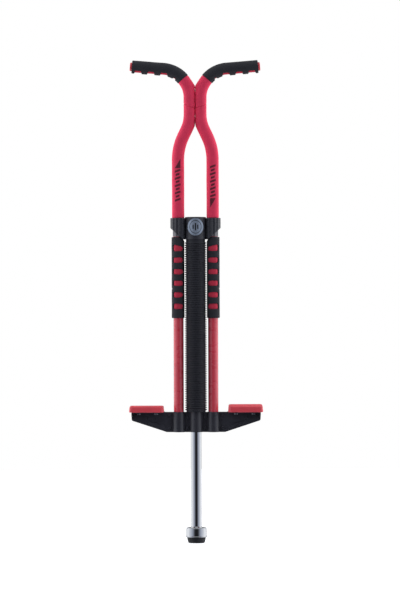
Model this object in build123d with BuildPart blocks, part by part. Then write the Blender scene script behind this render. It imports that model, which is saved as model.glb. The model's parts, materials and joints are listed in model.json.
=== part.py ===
"""Twin-tube spring pogo stick, built up from the separate pieces that it comes apart into.

The origin is the centre of the rubber tip's lower face. +Z runs up the plunger, X runs along the
foot rests and the handlebars, and -Y is the front. Most paired pieces are made on the right, at +X,
and mirrored to the left. The foot bracket and the collar are both made as a front and a rear half.
"""

from build123d import *
from math import cos, radians, sin, sqrt, tan
import os

os.makedirs("parts", exist_ok=True)

# ---- Frame tubes ----
TUBE_D = 21.3
TUBE_WALL = 1.6
SHAFT_X = 36.4  # from the stick's axis to each lower shaft
NECK_X = 11.1  # the same at the neck, where the tubes almost touch
TUBE_FOOT_Z = 234.5
S_BEND_LOW_Z = 834.1
S_BEND_LOW_R = 114.0
S_BEND_HIGH_Z = 886.8
S_BEND_HIGH_R = 76.0
BAR_Z = 994.3  # where the neck's line meets the handlebar's line
BAR_BEND_R = 59.7
BAR_RISE = 4.7  # degrees
BAR_END_X = 131.4

# ---- Foam sleeves and grips ----
FOAM_D = 25.9
FOAM_SEAM_Z = 922.0
FOAM_SPLIT_X = 0.15  # half the gap where the two neck sleeves press together
GRIP_D = 27.6
GRIP_LINER_D = 22.4
GRIP_START_ANGLE = 40.5  # degrees round the handlebar bend
GRIP_OVERHANG = 1.6  # past the tube's end
NOTCH_DEPTH = 9.0
NOTCHES = (  # distance in from the grip's outer end, drop below its axis, tilt, roof and mouth width
    (13.5, 8.0, 0.0, 12.0, 19.0),
    (40.8, 8.0, 0.0, 12.0, 19.0),
    (68.3, 8.2, 0.0, 12.0, 19.0),
    (91.3, 16.6, -29.1, 3.6, 14.0),
)
PLUG_HEAD_D = 18.0
PLUG_HEAD_L = 6.0
PLUG_SHANK_L = 14.0

# ---- Knee pads ----
KNEE_LINER_D = 23.6
KNEE_PAD_D = 27.2
KNEE_PAD_X = 37.1  # the pad is thicker on its outer side
KNEE_TOP_Z = 645.0
KNEE_BOTTOM_Z = 474.0
KNEE_COLLAR_GAP = 0.3
WINDOW_COUNT = 6
WINDOW_PITCH = 24.4
WINDOW_TOP_Z = 620.6
WINDOW_W = 18.0
WINDOW_H = 11.3
WINDOW_R = 4.0

# ---- Collar ----
COLLAR_TOP_Z = 685.0
COLLAR_EDGE_Z = 664.0  # where the outer edges stop being upright
COLLAR_SLANT_FOOT_Z = 636.0  # where the slanted edges would meet the centre barrel
COLLAR_BARREL_R = 22.2
COLLAR_BARREL_TOP_Z = 687.0
COLLAR_BARREL_BOTTOM_Z = 640.0
COLLAR_SIDE_R = 16.6
COLLAR_STUB_R = 11.5
COLLAR_STUB_Z = 646.0
COLLAR_CAVITY_R = 20.2
COLLAR_CAVITY_TOP_Z = 681.0
COLLAR_SCREW_X = 23.4
COLLAR_SCREW_Z = (652.0, 675.0)
COLLAR_SCREW_D = 4.0
COLLAR_SCREW_HEAD_D = 7.0
COLLAR_SCREW_HEAD_L = 3.0
COLLAR_SCREW_FRONT_Y = -8.0
COLLAR_SCREW_HEAD_Y = 9.0
COLLAR_RIDGE_X = (26.0, 34.4)
COLLAR_RIDGE_R = 1.3
COLLAR_RIDGE_DROP = 2.0
BADGE_W = 33.0
BADGE_H = 36.7
BADGE_T = 1.0
BADGE_Z = 666.0

# ---- Foot bracket ----
PLATE_T = 2.2
BRACKET_TOP_Z = 276.0
BRACKET_BOTTOM_Z = 233.5
BRACKET_END_Z = 258.0
BRACKET_HALF_W = 136.0
BRACKET_FOOT_X = 61.5  # where the slanted lower edge starts
CENTRE_CHANNEL_R = 12.0
FLANGE_START_X = 66.0
FLANGE_Y = 27.0
RIVET_HEAD_D = 7.4
RIVET_HEAD_H = 1.6
RIVET_SHANK_D = 4.0
RIVET_PLACES = ((19.2, 264.0), (19.2, 242.0), (56.0, 269.0), (56.0, 242.0), (106.0, 264.0))

# ---- Foot pads ----
PAD_START_X = 67.8
PAD_END_X = 141.0
PAD_DEPTH = 62.0
PAD_T = 13.6
PAD_LIP_T = 3.6
PAD_GROOVE = 1.3
PAD_CORNER_R = 7.0
PAD_BORDER = 5.0
TREAD_SLOTS = 6
TREAD_SLOT_W = 4.0
TREAD_SLOT_PITCH = 8.6
TREAD_DEPTH = 1.3
PAD_SCREW_D = 4.8
PAD_SCREW_HOLE_D = 5.4
PAD_SCREW_HEAD_D = 9.0
PAD_SCREW_HEAD_L = 3.0
PAD_SCREW_L = 10.0
PAD_SCREW_Y = 15.0
PAD_SCREW_X = (84.0, 121.0)

# ---- Plunger ----
PLUNGER_D = 22.2
PLUNGER_WALL = 1.8
PLUNGER_TOP_Z = 500.0
RUNNING_GAP = 0.05  # radial, where the plunger slides or turns
BUSH_L = 14.0
CUP_D = 42.8
CUP_LIP_D = 44.7
CUP_LIP_T = 2.0
CUP_WALL = 1.8
CUP_ROOF = 2.5
CUP_TOP_Z = 32.2
CUP_BOTTOM_Z = 12.5
CUP_CORNER_R = 3.0
WELD_SIZE = 2.4
TIP_D = 36.4
TIP_TOP_D = 40.4
TIP_EDGE_R = 2.5

# ---- Spring and its seats ----
SPRING_WIRE_D = 4.5
SPRING_MEAN_D = 30.0
SPRING_TURNS = 30
LOWER_SEAT_Z = 300.0
SEAT_T = 4.0
SEAT_SPIGOT_D = 25.0
SEAT_SPIGOT_L = 6.0
SEAT_D = 34.4
UPPER_SEAT_T = 3.0
UPPER_SEAT_D = 40.0
STOP_PIN_D = 6.0
STOP_PIN_L = 30.0
BUMPER_D = 35.0
BUMPER_BORE_D = 23.2
BUMPER_GAP = 0.2

# ---- Ribbed spring cover ----
COVER_D = 46.0
COVER_VALLEY_D = 40.6
COVER_WALL = 1.2
RIB_PITCH = 4.75
RIB_T = 2.6
COVER_CUFF_L = 8.0

# ---- Worked-out sizes ----
BAR_END_Z = BAR_Z + (BAR_END_X - NECK_X) * tan(radians(BAR_RISE))
BAR_TURN = 90.0 - BAR_RISE
BEND_START_Z = BAR_Z - BAR_BEND_R * tan(radians(BAR_TURN) / 2)
GRIP_PLANE = Plane(
    origin=(
        NECK_X + BAR_BEND_R * (1 - cos(radians(GRIP_START_ANGLE))),
        0,
        BEND_START_Z + BAR_BEND_R * sin(radians(GRIP_START_ANGLE)),
    ),
    z_dir=(sin(radians(GRIP_START_ANGLE)), 0, cos(radians(GRIP_START_ANGLE))),
)
BAR_END_PLANE = Plane(
    origin=(BAR_END_X, 0, BAR_END_Z), z_dir=(cos(radians(BAR_RISE)), 0, sin(radians(BAR_RISE)))
)
SPRING_BOTTOM_Z = LOWER_SEAT_Z + SEAT_T
SPRING_TOP_Z = COLLAR_CAVITY_TOP_Z - UPPER_SEAT_T
SPRING_L = SPRING_TOP_Z - SPRING_BOTTOM_Z
PLUNGER_BORE_D = PLUNGER_D + 2 * RUNNING_GAP
COLLAR_SLANT = (COLLAR_EDGE_Z - COLLAR_SLANT_FOOT_Z) / (
    SHAFT_X + COLLAR_SIDE_R - COLLAR_BARREL_R
)
COVER_RIBS = int((COLLAR_BARREL_BOTTOM_Z - BRACKET_TOP_Z) / RIB_PITCH) - 1


def save(piece, name):
    """Label a finished piece and write it as its own STEP file."""
    piece.part.label = name
    export_step(piece.part, f"parts/{name}.step")


def save_pair(piece, name):
    """Write a right-hand piece, and its mirror image for the left."""
    save(piece, f"right_{name}")
    with BuildPart() as left_piece:
        mirror(piece.part, about=Plane.YZ)
    save(left_piece, f"left_{name}")


def right_sleeve(outer_d, inner_d, overhang=0.0):
    """A round sleeve along the whole right frame tube, from its foot to overhang past its end."""
    end_x = BAR_END_X + overhang * cos(radians(BAR_RISE))
    end_z = BAR_END_Z + overhang * sin(radians(BAR_RISE))
    with BuildPart() as sleeve:
        with BuildLine(Plane.XZ) as axis:
            FilletPolyline(
                (SHAFT_X, TUBE_FOOT_Z),
                (SHAFT_X, S_BEND_LOW_Z),
                (NECK_X, S_BEND_HIGH_Z),
                (NECK_X, BAR_Z),
                (end_x, end_z),
                radius=(S_BEND_LOW_R, S_BEND_HIGH_R, BAR_BEND_R),
            )
        with BuildSketch(Plane.XY.offset(TUBE_FOOT_Z)):
            with Locations((SHAFT_X, 0)):
                Circle(outer_d / 2)
                Circle(inner_d / 2, mode=Mode.SUBTRACT)
        sweep(path=axis.line)
    return sleeve.part


def ring(outer_d, inner_d, low_z, high_z):
    """A plain ring or sleeve about the stick's axis."""
    with BuildPart() as piece:
        with BuildSketch(Plane.XY.offset(low_z)):
            Circle(outer_d / 2)
            Circle(inner_d / 2, mode=Mode.SUBTRACT)
        extrude(amount=high_z - low_z)
    return piece.part


# ======== Frame tubes ========

with BuildPart() as frame_tube:
    add(right_sleeve(TUBE_D, TUBE_D - 2 * TUBE_WALL))
save_pair(frame_tube, "frame_tube")

NECK_WELD_Z = (906.0, 937.0)
NECK_WELD_HALF_Y = 4.0

with BuildPart() as neck_weld:
    with BuildSketch(Plane.XY.offset(NECK_WELD_Z[0])):
        Rectangle(2 * NECK_X, 2 * NECK_WELD_HALF_Y)
        with Locations((-NECK_X, 0), (NECK_X, 0)):
            Circle(TUBE_D / 2, mode=Mode.SUBTRACT)
    extrude(amount=NECK_WELD_Z[1] - NECK_WELD_Z[0])
save(neck_weld, "neck_weld")

with BuildPart() as handle_plug:
    with BuildSketch(BAR_END_PLANE):
        Circle(PLUG_HEAD_D / 2)
    extrude(amount=PLUG_HEAD_L)
    fillet(handle_plug.edges().filter_by(GeomType.CIRCLE).sort_by(Axis.X)[-1], 1.8)
    with BuildSketch(BAR_END_PLANE):
        Circle(TUBE_D / 2 - TUBE_WALL)
    extrude(amount=-PLUG_SHANK_L)
save_pair(handle_plug, "handle_plug")

# ======== Foam on the upper tubes ========

WELD_RELIEF_X = 2.0
WELD_RELIEF_Y = 4.6


def weld_relief():
    """The room that a neck sleeve leaves round the weld."""
    with BuildPart() as relief:
        with BuildSketch(Plane.XY.offset(NECK_WELD_Z[0] - 1)):
            Rectangle(2 * WELD_RELIEF_X, 2 * WELD_RELIEF_Y)
        extrude(amount=NECK_WELD_Z[1] - NECK_WELD_Z[0] + 2)
    return relief.part


with BuildPart() as neck_foam:
    add(right_sleeve(FOAM_D, TUBE_D))
    split(bisect_by=Plane.XY.offset(FOAM_SEAM_Z), keep=Keep.TOP)
    split(bisect_by=GRIP_PLANE, keep=Keep.BOTTOM)
    split(bisect_by=Plane.YZ.offset(FOAM_SPLIT_X), keep=Keep.TOP)
    add(weld_relief(), mode=Mode.SUBTRACT)
save_pair(neck_foam, "neck_foam")

with BuildPart() as shaft_foam:
    add(right_sleeve(FOAM_D, TUBE_D))
    split(bisect_by=Plane.XY.offset(FOAM_SEAM_Z), keep=Keep.BOTTOM)
    split(bisect_by=Plane.XY.offset(COLLAR_TOP_Z), keep=Keep.TOP)
    split(bisect_by=Plane.YZ.offset(FOAM_SPLIT_X), keep=Keep.TOP)
    add(weld_relief(), mode=Mode.SUBTRACT)
save_pair(shaft_foam, "shaft_foam")

with BuildPart() as grip_liner:
    add(right_sleeve(GRIP_LINER_D, TUBE_D))
    split(bisect_by=GRIP_PLANE, keep=Keep.TOP)
save_pair(grip_liner, "grip_liner")

GRIP_END_PLANE = BAR_END_PLANE.offset(GRIP_OVERHANG)
# Local x runs inwards along the handlebar from the grip's outer end, and local y is up.
NOTCH_PLANE = Plane(origin=GRIP_END_PLANE.origin, x_dir=-GRIP_END_PLANE.z_dir, z_dir=(0, 1, 0))

with BuildPart() as grip:
    add(right_sleeve(GRIP_D, GRIP_LINER_D, GRIP_OVERHANG))
    split(bisect_by=GRIP_PLANE, keep=Keep.TOP)
    with BuildSketch(NOTCH_PLANE):
        for along, drop, tilt, roof_w, mouth_w in NOTCHES:
            with Locations(Location((along, -drop, 0), (0, 0, tilt))):
                Polygon(
                    (-roof_w / 2, 0),
                    (roof_w / 2, 0),
                    (mouth_w / 2, -NOTCH_DEPTH),
                    (-mouth_w / 2, -NOTCH_DEPTH),
                    align=None,
                )
    extrude(amount=GRIP_D, both=True, mode=Mode.SUBTRACT)
save_pair(grip, "grip")

# ======== Knee pads ========


def under_collar(side):
    """The plane, just under the collar's slanted edge, that trims a knee pad's inner top corner."""
    return Plane(
        origin=(side * COLLAR_BARREL_R, 0, COLLAR_SLANT_FOOT_Z - KNEE_COLLAR_GAP),
        z_dir=(-side * COLLAR_SLANT, 0, 1),
    )


for hand, side in (("left", -1), ("right", 1)):
    with BuildPart() as knee_liner:
        with BuildSketch(Plane.XY.offset(KNEE_BOTTOM_Z)):
            with Locations((side * SHAFT_X, 0)):
                Circle(KNEE_LINER_D / 2)
                Circle(TUBE_D / 2, mode=Mode.SUBTRACT)
        extrude(amount=KNEE_TOP_Z - KNEE_BOTTOM_Z)
        split(bisect_by=under_collar(side), keep=Keep.BOTTOM)
    save(knee_liner, f"{hand}_knee_liner")

for hand, side, turn in (("left", -1, 0.0), ("right", 1, 9.0)):
    # Each row of windows faces the front, turned outwards by so many degrees.
    window_plane = Plane(
        origin=(side * SHAFT_X, 0, 0), x_dir=(cos(radians(turn)), sin(radians(turn)), 0),
        z_dir=(sin(radians(turn)), -cos(radians(turn)), 0),
    )
    with BuildPart() as knee_pad:
        with BuildSketch(Plane.XY.offset(KNEE_BOTTOM_Z)):
            with Locations((side * KNEE_PAD_X, 0)):
                Circle(KNEE_PAD_D / 2)
            with Locations((side * SHAFT_X, 0)):
                Circle(KNEE_LINER_D / 2, mode=Mode.SUBTRACT)
        extrude(amount=KNEE_TOP_Z - KNEE_BOTTOM_Z)
        with BuildSketch(window_plane):
            for index in range(WINDOW_COUNT):
                with Locations((0, WINDOW_TOP_Z - index * WINDOW_PITCH)):
                    RectangleRounded(WINDOW_W, WINDOW_H, WINDOW_R)
        extrude(amount=KNEE_PAD_D, mode=Mode.SUBTRACT)
        split(bisect_by=under_collar(side), keep=Keep.BOTTOM)
    save(knee_pad, f"{hand}_knee_pad")

# ======== Collar ========


def collar_half():
    """The front half of the collar, before its screw holes."""
    with BuildPart() as half:
        # Two side barrels round the tubes, cut off below along a slant.
        with BuildSketch(Plane.XY.offset(COLLAR_BARREL_BOTTOM_Z)):
            with Locations((-SHAFT_X, 0), (SHAFT_X, 0)):
                Circle(COLLAR_SIDE_R)
        extrude(amount=COLLAR_TOP_Z - COLLAR_BARREL_BOTTOM_Z)
        fillet(half.edges().group_by(Axis.Z)[-1], 1.6)
        for side in (-1, 1):
            with BuildSketch(Plane.XZ):
                with BuildLine():
                    Polyline(
                        (side * (SHAFT_X + COLLAR_SIDE_R), COLLAR_EDGE_Z),
                        (side * COLLAR_BARREL_R, COLLAR_SLANT_FOOT_Z),
                        (side * (SHAFT_X + 2 * COLLAR_SIDE_R), COLLAR_SLANT_FOOT_Z),
                        (side * (SHAFT_X + 2 * COLLAR_SIDE_R), COLLAR_EDGE_Z),
                        close=True,
                    )
                make_face()
            extrude(amount=2 * COLLAR_SIDE_R, both=True, mode=Mode.SUBTRACT)
        # Upright ridges on the front of each side barrel.
        for side in (-1, 1):
            for ridge_x in COLLAR_RIDGE_X:
                ridge_y = sqrt(COLLAR_SIDE_R**2 - (ridge_x - SHAFT_X) ** 2)
                ridge_foot = COLLAR_SLANT_FOOT_Z + (ridge_x - COLLAR_BARREL_R) * COLLAR_SLANT
                with BuildSketch(Plane.XY.offset(COLLAR_TOP_Z - COLLAR_RIDGE_DROP)):
                    with Locations((side * ridge_x, -ridge_y)):
                        Circle(COLLAR_RIDGE_R)
                extrude(amount=ridge_foot - COLLAR_TOP_Z + 2 * COLLAR_RIDGE_DROP)
        # A short stub carries each barrel down to the knee pad.
        with BuildSketch(Plane.XY.offset(COLLAR_STUB_Z)):
            with Locations((-SHAFT_X, 0), (SHAFT_X, 0)):
                Circle(COLLAR_STUB_R)
        extrude(amount=COLLAR_EDGE_Z - COLLAR_STUB_Z)
        # The centre barrel houses the top of the spring.
        with BuildSketch(Plane.XY.offset(COLLAR_BARREL_BOTTOM_Z)):
            Circle(COLLAR_BARREL_R)
        extrude(amount=COLLAR_BARREL_TOP_Z - COLLAR_BARREL_BOTTOM_Z)
        fillet(half.faces().sort_by(Axis.Z)[-1].edges(), 1.2)
        with BuildSketch(Plane.XY.offset(COLLAR_BARREL_BOTTOM_Z)):
            Circle(COLLAR_CAVITY_R)
        extrude(amount=COLLAR_CAVITY_TOP_Z - COLLAR_BARREL_BOTTOM_Z, mode=Mode.SUBTRACT)
        with BuildSketch(Plane.XY.offset(COLLAR_BARREL_BOTTOM_Z)):
            with Locations((-SHAFT_X, 0), (SHAFT_X, 0)):
                Circle(TUBE_D / 2)
        extrude(amount=COLLAR_BARREL_TOP_Z - COLLAR_BARREL_BOTTOM_Z, mode=Mode.SUBTRACT)
        split(bisect_by=Plane.XZ, keep=Keep.TOP)
    return half.part


def collar_screw_places():
    """The four screw places, as X and Z."""
    return [(side * COLLAR_SCREW_X, z) for side in (-1, 1) for z in COLLAR_SCREW_Z]


with BuildPart() as collar_front:
    add(collar_half())
    with BuildSketch(Plane.XZ):
        with Locations(*collar_screw_places()):
            Circle(COLLAR_SCREW_D / 2)
    extrude(amount=-COLLAR_SCREW_FRONT_Y, mode=Mode.SUBTRACT)
save(collar_front, "collar_front")

with BuildPart() as collar_rear:
    mirror(collar_half(), about=Plane.XZ)
    with BuildSketch(Plane.XZ):
        with Locations(*collar_screw_places()):
            Circle(COLLAR_SCREW_D / 2)
    extrude(amount=-COLLAR_SCREW_HEAD_Y, mode=Mode.SUBTRACT)
    with BuildSketch(Plane.XZ.offset(-COLLAR_SCREW_HEAD_Y)):
        with Locations(*collar_screw_places()):
            Circle(COLLAR_SCREW_HEAD_D / 2)
    extrude(amount=-COLLAR_BARREL_R, mode=Mode.SUBTRACT)
save(collar_rear, "collar_rear")

with BuildPart() as collar_screws:
    with BuildSketch(Plane.XZ.offset(-COLLAR_SCREW_HEAD_Y)):
        with Locations(*collar_screw_places()):
            Circle(COLLAR_SCREW_D / 2)
    extrude(amount=COLLAR_SCREW_HEAD_Y - COLLAR_SCREW_FRONT_Y)
    with BuildSketch(Plane.XZ.offset(-COLLAR_SCREW_HEAD_Y)):
        with Locations(*collar_screw_places()):
            Circle(COLLAR_SCREW_HEAD_D / 2 - 0.3)
    extrude(amount=-COLLAR_SCREW_HEAD_L)
    with BuildSketch(Plane.XZ.offset(-COLLAR_SCREW_HEAD_Y - COLLAR_SCREW_HEAD_L)):
        with Locations(*collar_screw_places()):
            RegularPolygon(1.6, 6)
    extrude(amount=COLLAR_SCREW_HEAD_L / 2, mode=Mode.SUBTRACT)
save(collar_screws, "collar_screws")

with BuildPart() as badge:
    add(ring(
        2 * (COLLAR_BARREL_R + BADGE_T), 2 * COLLAR_BARREL_R, BADGE_Z - BADGE_H, BADGE_Z + BADGE_H
    ))
    with BuildSketch(Plane.XZ):
        with Locations((0, BADGE_Z)):
            Ellipse(BADGE_W / 2, BADGE_H / 2)
    extrude(amount=2 * COLLAR_BARREL_R, mode=Mode.INTERSECT)
save(badge, "badge")

# ======== Foot bracket ========


def wing_outline():
    """The outline that both wings show from the front."""
    with BuildSketch() as outline:
        with BuildLine():
            FilletPolyline(
                (-BRACKET_HALF_W, BRACKET_TOP_Z),
                (-BRACKET_HALF_W, BRACKET_END_Z),
                (-BRACKET_FOOT_X, BRACKET_BOTTOM_Z),
                (BRACKET_FOOT_X, BRACKET_BOTTOM_Z),
                (BRACKET_HALF_W, BRACKET_END_Z),
                (BRACKET_HALF_W, BRACKET_TOP_Z),
                radius=(4, 4, 4, 4),
            )
            Line((BRACKET_HALF_W, BRACKET_TOP_Z), (-BRACKET_HALF_W, BRACKET_TOP_Z))
        make_face()
    return outline.sketch


EAR_H = 9.0
EAR_T = 1.4
CENTRE_EAR_X = 19.0
CENTRE_EAR_Z = 252.5
TUBE_EAR_X = 52.8
TUBE_EAR_Z = 257.5
BEAD_PLACE = (83.5, 249.3)
BEAD_L = 38.0
BEAD_W = 7.0
BEAD_H = 1.2
BEAD_TILT = 16.0  # degrees, rising outwards


def ear(root_x, tip_x, mid_z):
    """A pointed ear with hollow sides, from a channel's edge out to its tip."""
    waist_x = (2 * root_x + tip_x) / 3
    inner_x = root_x - (tip_x - root_x) / 3
    with BuildSketch() as outline:
        with BuildLine():
            ThreePointArc((root_x, mid_z + EAR_H), (waist_x, mid_z + EAR_H / 4), (tip_x, mid_z))
            ThreePointArc((tip_x, mid_z), (waist_x, mid_z - EAR_H / 4), (root_x, mid_z - EAR_H))
            Polyline(
                (root_x, mid_z - EAR_H),
                (inner_x, mid_z - EAR_H),
                (inner_x, mid_z + EAR_H),
                (root_x, mid_z + EAR_H),
            )
        make_face()
    return outline.sketch


def bracket_half():
    """The front plate of the foot bracket, before its rivet holes."""
    channels = ((0, CENTRE_CHANNEL_R), (-SHAFT_X, TUBE_D / 2), (SHAFT_X, TUBE_D / 2))
    with BuildPart() as half:
        with BuildSketch(Plane.XZ):
            add(wing_outline())
        extrude(amount=PLATE_T)
        for x, radius in channels:
            with BuildSketch(Plane.XY.offset(BRACKET_BOTTOM_Z)):
                with Locations((x, 0)):
                    Circle(radius + PLATE_T)
            extrude(amount=BRACKET_TOP_Z - BRACKET_BOTTOM_Z)
        # Pointed ears stiffen the roots of the channels.
        with BuildSketch(Plane.XZ.offset(PLATE_T)):
            for side in (-1, 1):
                add(ear(side * CENTRE_CHANNEL_R, side * CENTRE_EAR_X, CENTRE_EAR_Z))
                add(ear(side * (SHAFT_X + TUBE_D / 2), side * TUBE_EAR_X, TUBE_EAR_Z))
        extrude(amount=EAR_T)
        for side in (-1, 1):
            # One long bead on each wing.
            with BuildSketch(Plane.XZ.offset(PLATE_T)):
                with Locations(Location((side * BEAD_PLACE[0], BEAD_PLACE[1]), side * BEAD_TILT)):
                    SlotOverall(BEAD_L, BEAD_W)
            extrude(amount=BEAD_H, taper=35)
        # The top edges and the ends are folded outwards.
        for side in (-1, 1):
            flange_w = BRACKET_HALF_W - FLANGE_START_X
            with BuildSketch(Plane.XY.offset(BRACKET_TOP_Z)):
                with Locations((side * (FLANGE_START_X + flange_w / 2), -FLANGE_Y / 2)):
                    Rectangle(flange_w, FLANGE_Y)
            extrude(amount=-PLATE_T)
            with BuildSketch(Plane.YZ.offset(side * BRACKET_HALF_W)):
                with BuildLine():
                    Polyline(
                        (0, BRACKET_TOP_Z),
                        (-FLANGE_Y, BRACKET_TOP_Z),
                        (-FLANGE_Y, BRACKET_TOP_Z - 6),
                        (-PLATE_T, BRACKET_END_Z + 4),
                        (0, BRACKET_END_Z + 4),
                        close=True,
                    )
                make_face()
            extrude(amount=-side * PLATE_T)
        for x, radius in channels:
            with BuildSketch(Plane.XY.offset(BRACKET_BOTTOM_Z)):
                with Locations((x, 0)):
                    Circle(radius)
            extrude(amount=BRACKET_TOP_Z - BRACKET_BOTTOM_Z, mode=Mode.SUBTRACT)
        split(bisect_by=Plane.XZ, keep=Keep.TOP)
        with BuildSketch(Plane.XZ):
            with Locations(*rivet_places()):
                Circle(RIVET_SHANK_D / 2)
        extrude(amount=2 * PLATE_T, mode=Mode.SUBTRACT)
        with BuildSketch(Plane.XY.offset(BRACKET_TOP_Z)):
            with Locations(*pad_screw_places()):
                Circle(PAD_SCREW_HOLE_D / 2)
        extrude(amount=-PLATE_T, mode=Mode.SUBTRACT)
    return half.part


def rivet_places():
    """Every rivet on both wings, as X and Z."""
    return [(side * x, z) for side in (-1, 1) for x, z in RIVET_PLACES]


def pad_screw_places():
    """Every foot pad screw, as X and Y."""
    return [
        (side * x, y) for side in (-1, 1) for x in PAD_SCREW_X for y in (-PAD_SCREW_Y, PAD_SCREW_Y)
    ]


with BuildPart() as bracket_front_plate:
    add(bracket_half())
save(bracket_front_plate, "bracket_front_plate")

with BuildPart() as bracket_rear_plate:
    mirror(bracket_front_plate.part, about=Plane.XZ)
save(bracket_rear_plate, "bracket_rear_plate")

with BuildPart() as bracket_rivets:
    with BuildSketch(Plane.XZ):
        with Locations(*rivet_places()):
            Circle(RIVET_SHANK_D / 2)
    extrude(amount=PLATE_T, both=True)
    for facing in (Plane.XZ, -Plane.XZ):
        with BuildSketch(facing.offset(PLATE_T)):
            with Locations(*[(x * facing.x_dir.X, z * facing.y_dir.Z) for x, z in rivet_places()]):
                Circle(RIVET_HEAD_D / 2)
        extrude(amount=RIVET_HEAD_H, taper=25)
save(bracket_rivets, "bracket_rivets")

# ======== Foot pads ========

PAD_LAYERS = (  # height of each layer, and how far its edge is set in
    (PAD_LIP_T, 0.0),
    (PAD_T - 2 * PAD_LIP_T, PAD_GROOVE),
    (PAD_LIP_T, 0.0),
)

with BuildPart() as foot_pad:
    layer_z = BRACKET_TOP_Z
    for height, inset in PAD_LAYERS:
        with BuildSketch(Plane.XY.offset(layer_z)):
            with Locations(((PAD_START_X + PAD_END_X) / 2, 0)):
                RectangleRounded(
                    PAD_END_X - PAD_START_X - 2 * inset, PAD_DEPTH - 2 * inset, PAD_CORNER_R - inset
                )
        extrude(amount=height)
        layer_z += height
    fillet(foot_pad.faces().sort_by(Axis.Z)[-1].edges(), 1.2)
    with BuildSketch(Plane.XY.offset(BRACKET_TOP_Z + PAD_T)):
        with Locations(((PAD_START_X + PAD_END_X) / 2, 0)):
            with GridLocations(1, TREAD_SLOT_PITCH, 1, TREAD_SLOTS):
                SlotOverall(PAD_END_X - PAD_START_X - 2 * PAD_BORDER, TREAD_SLOT_W)
    extrude(amount=-TREAD_DEPTH, mode=Mode.SUBTRACT)
    with BuildSketch(Plane.XY.offset(BRACKET_TOP_Z)):
        with Locations(*[place for place in pad_screw_places() if place[0] > 0]):
            Circle(PAD_SCREW_D / 2)
    extrude(amount=PAD_SCREW_L - PLATE_T, mode=Mode.SUBTRACT)
save_pair(foot_pad, "foot_pad")

with BuildPart() as foot_pad_screws:
    with BuildSketch(Plane.XY.offset(BRACKET_TOP_Z - PLATE_T)):
        with Locations(*pad_screw_places()):
            Circle(PAD_SCREW_D / 2)
    extrude(amount=PAD_SCREW_L)
    with BuildSketch(Plane.XY.offset(BRACKET_TOP_Z - PLATE_T)):
        with Locations(*pad_screw_places()):
            Circle(PAD_SCREW_HEAD_D / 2)
    extrude(amount=-PAD_SCREW_HEAD_L)
    with BuildSketch(Plane.XY.offset(BRACKET_TOP_Z - PLATE_T - PAD_SCREW_HEAD_L)):
        with Locations(*pad_screw_places()):
            RegularPolygon(2.2, 6)
    extrude(amount=PAD_SCREW_HEAD_L / 2, mode=Mode.SUBTRACT)
save(foot_pad_screws, "foot_pad_screws")

# ======== Plunger ========

for name, low_z in (
    ("guide_bush_lower", BRACKET_BOTTOM_Z),
    ("guide_bush_upper", BRACKET_TOP_Z - BUSH_L),
):
    with BuildPart() as guide_bush:
        add(ring(2 * CENTRE_CHANNEL_R, PLUNGER_BORE_D, low_z, low_z + BUSH_L))
    save(guide_bush, name)

STOP_PIN_Z = LOWER_SEAT_Z - STOP_PIN_D / 2

with BuildPart() as plunger_tube:
    add(ring(PLUNGER_D, PLUNGER_D - 2 * PLUNGER_WALL, CUP_TOP_Z, PLUNGER_TOP_Z))
    with BuildSketch(Plane.YZ):
        with Locations((0, STOP_PIN_Z)):
            Circle(STOP_PIN_D / 2)
    extrude(amount=PLUNGER_D, both=True, mode=Mode.SUBTRACT)
save(plunger_tube, "plunger_tube")

with BuildPart() as plunger_top_plug:
    with BuildSketch(Plane.XY.offset(PLUNGER_TOP_Z)):
        Circle(PLUNGER_D / 2 + 0.9)
    extrude(amount=6)
    chamfer(plunger_top_plug.faces().sort_by(Axis.Z)[-1].edges(), 2)
    with BuildSketch(Plane.XY.offset(PLUNGER_TOP_Z)):
        Circle(PLUNGER_D / 2 - PLUNGER_WALL)
    extrude(amount=-16)
save(plunger_top_plug, "plunger_top_plug")

with BuildPart() as stop_pin:
    with BuildSketch(Plane.YZ):
        with Locations((0, STOP_PIN_Z)):
            Circle(STOP_PIN_D / 2)
    extrude(amount=STOP_PIN_L / 2, both=True)
    chamfer(stop_pin.edges().filter_by(GeomType.CIRCLE), 0.6)
save(stop_pin, "stop_pin")

with BuildPart() as tip_cup:
    with BuildSketch(Plane.XZ):
        with BuildLine():
            Polyline(
                (CUP_D / 2 - CUP_WALL, CUP_BOTTOM_Z),
                (CUP_LIP_D / 2, CUP_BOTTOM_Z),
                (CUP_LIP_D / 2, CUP_BOTTOM_Z + CUP_LIP_T / 2),
                (CUP_D / 2, CUP_BOTTOM_Z + CUP_LIP_T),
                (CUP_D / 2, CUP_TOP_Z - CUP_CORNER_R),
            )
            RadiusArc(
                (CUP_D / 2, CUP_TOP_Z - CUP_CORNER_R),
                (CUP_D / 2 - CUP_CORNER_R, CUP_TOP_Z),
                -CUP_CORNER_R,
            )
            Polyline(
                (CUP_D / 2 - CUP_CORNER_R, CUP_TOP_Z),
                (PLUNGER_D / 2 + WELD_SIZE, CUP_TOP_Z),
                (PLUNGER_D / 2, CUP_TOP_Z + WELD_SIZE),
                (PLUNGER_D / 2, CUP_TOP_Z),
                (0, CUP_TOP_Z),
                (0, CUP_TOP_Z - CUP_ROOF),
                (CUP_D / 2 - CUP_WALL, CUP_TOP_Z - CUP_ROOF),
                (CUP_D / 2 - CUP_WALL, CUP_BOTTOM_Z),
            )
        make_face()
    revolve(axis=Axis.Z)
save(tip_cup, "tip_cup")

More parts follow.
